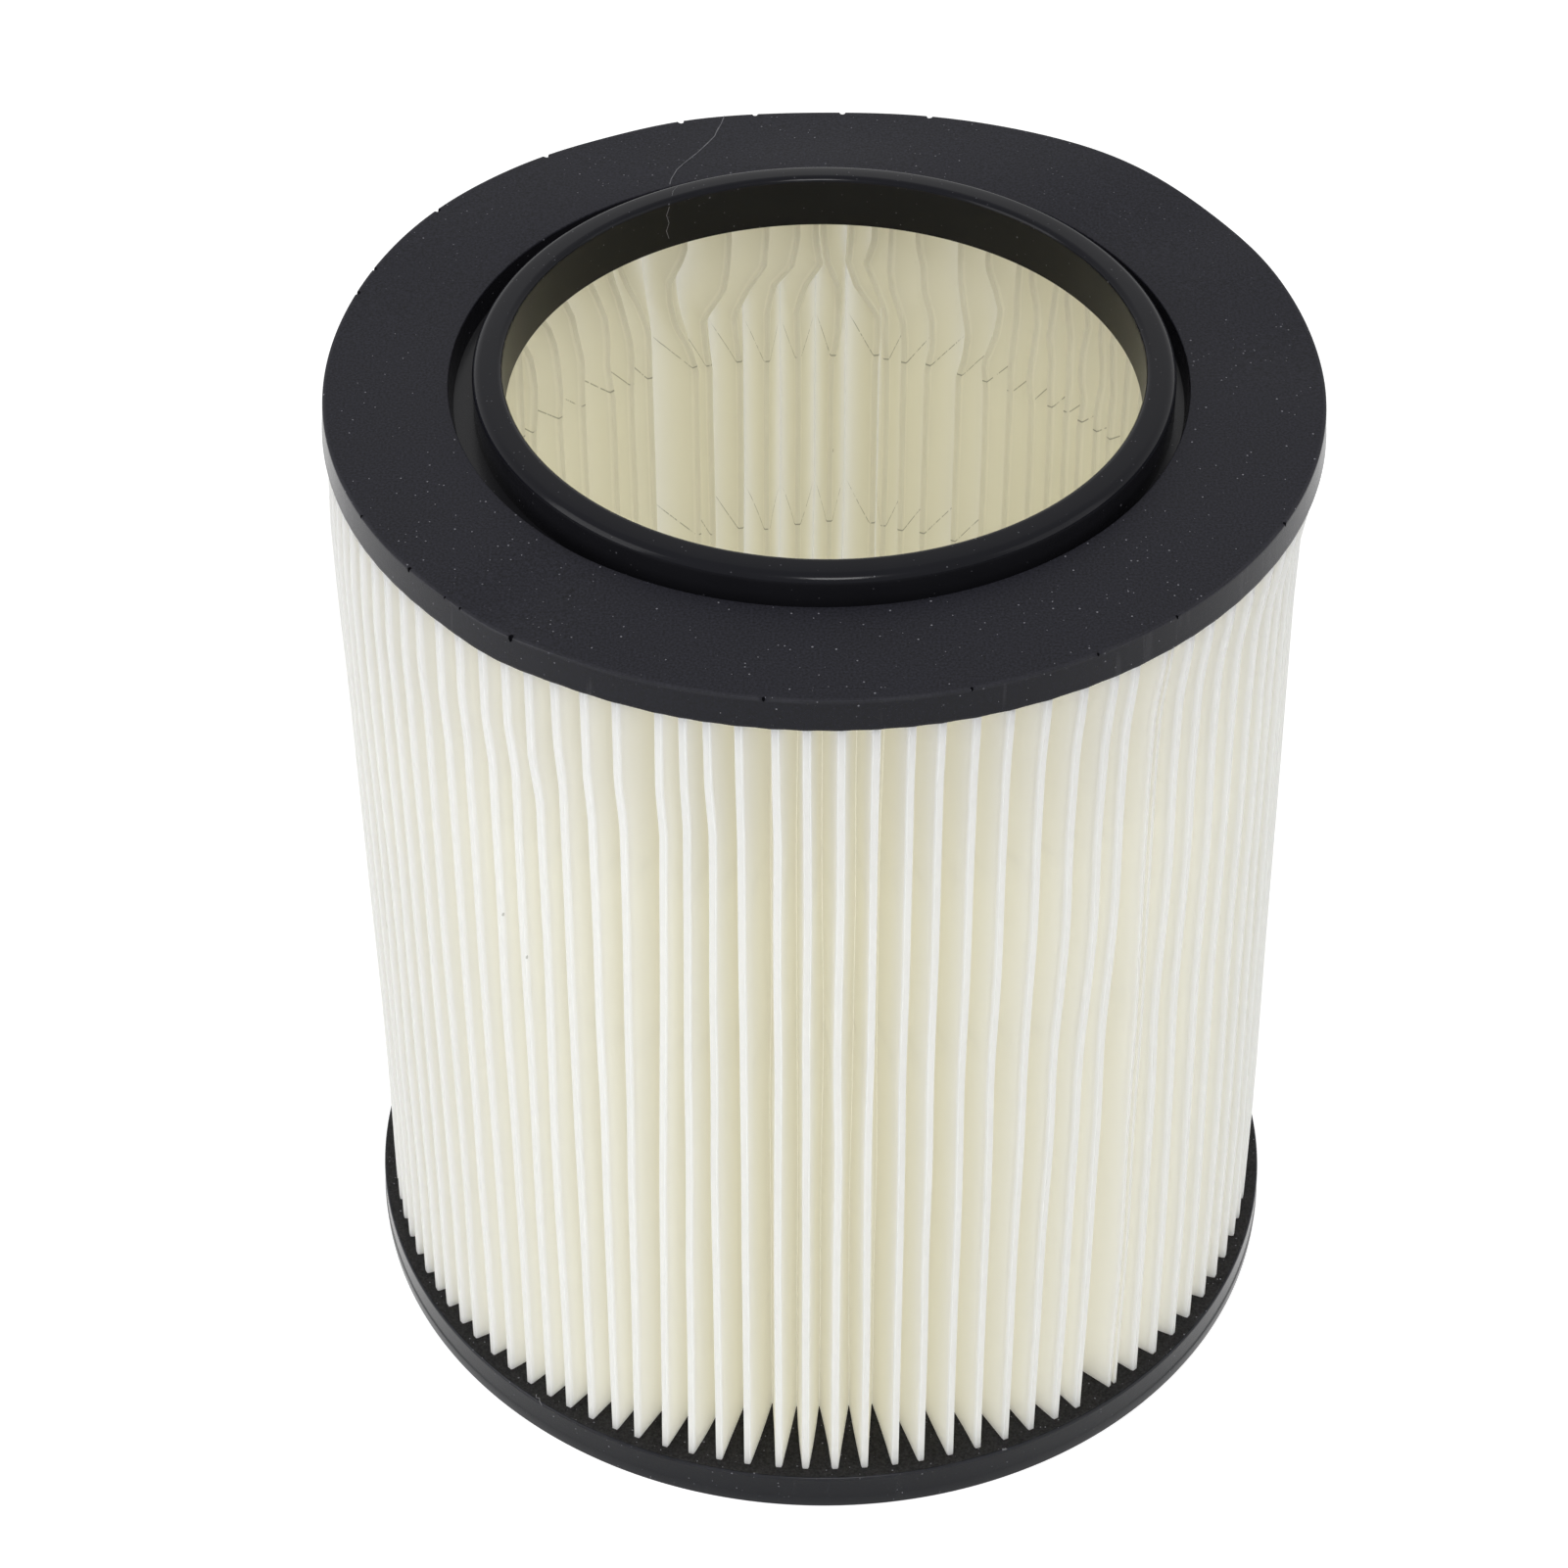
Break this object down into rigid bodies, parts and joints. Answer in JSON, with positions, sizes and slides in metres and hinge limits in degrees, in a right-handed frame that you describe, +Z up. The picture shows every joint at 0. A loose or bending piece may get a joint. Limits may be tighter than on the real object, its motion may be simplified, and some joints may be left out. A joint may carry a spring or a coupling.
{
  "type": "vacuum cleaner cartridge filter",
  "caption": "Cylindrical pleated cartridge filter for a wet and dry vacuum cleaner, with two moulded end caps and a raised sealing collar around the open end.",
  "frame": {"origin": "middle of the bottom cap's underside", "axes": "+Z up the filter's axis, out of the open end; the joint of the sheet faces X 0.64, Y -0.77"},
  "size_m": [0.1796, 0.1796, 0.2044],
  "materials": {
    "top_end_cap": "matt cast polyurethane, blue-black, with a smoother collar, pale dust specks, small edge nicks and one fine crack",
    "bottom_end_cap": "satin moulded polyurethane, blue-black",
    "pleated_media": "matt off-white filter sheet, creamier in the folds"
  },
  "bodies": {
    "root": {"top_end_cap": "top_end_cap", "bottom_end_cap": "bottom_end_cap", "pleated_media": "pleated_media"}
  },
  "joints": []
}
